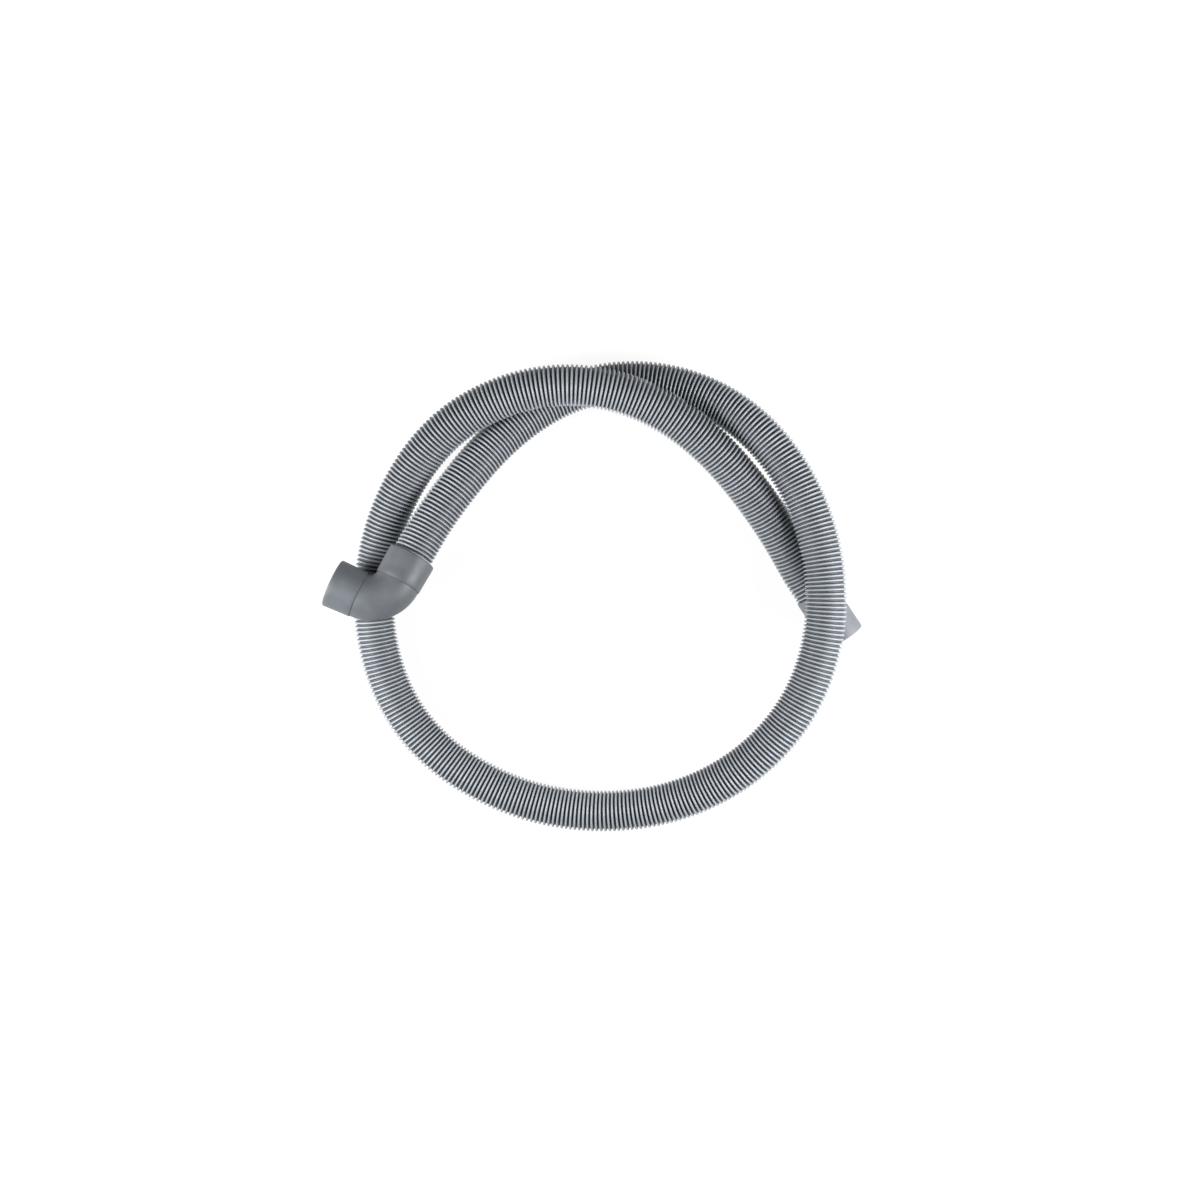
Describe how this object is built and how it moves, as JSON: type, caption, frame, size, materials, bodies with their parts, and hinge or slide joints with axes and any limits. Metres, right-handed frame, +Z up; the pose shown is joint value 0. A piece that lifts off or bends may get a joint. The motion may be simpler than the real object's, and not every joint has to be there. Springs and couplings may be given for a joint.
{
  "type": "corrugated drain hose",
  "caption": "Ribbed flexible drain hose lying in loose turns, with a right-angled rubber elbow cuff on one end and a short straight rubber cuff on the other.",
  "frame": {"origin": "middle of the coil's outline, on the surface that it lies on", "axes": "+Z up, +X from the elbow cuff's side to the straight cuff's side, +Y towards the strands' crossing at the top"},
  "size_m": [0.3643, 0.3211, 0.0665],
  "materials": {
    "hose": "satin grey polypropylene",
    "elbow": "satin dark grey rubber",
    "cuff": "satin light grey rubber"
  },
  "bodies": {
    "root": {"corrugated_hose": "hose", "elbow_cuff": "elbow", "straight_cuff": "cuff"}
  },
  "joints": []
}
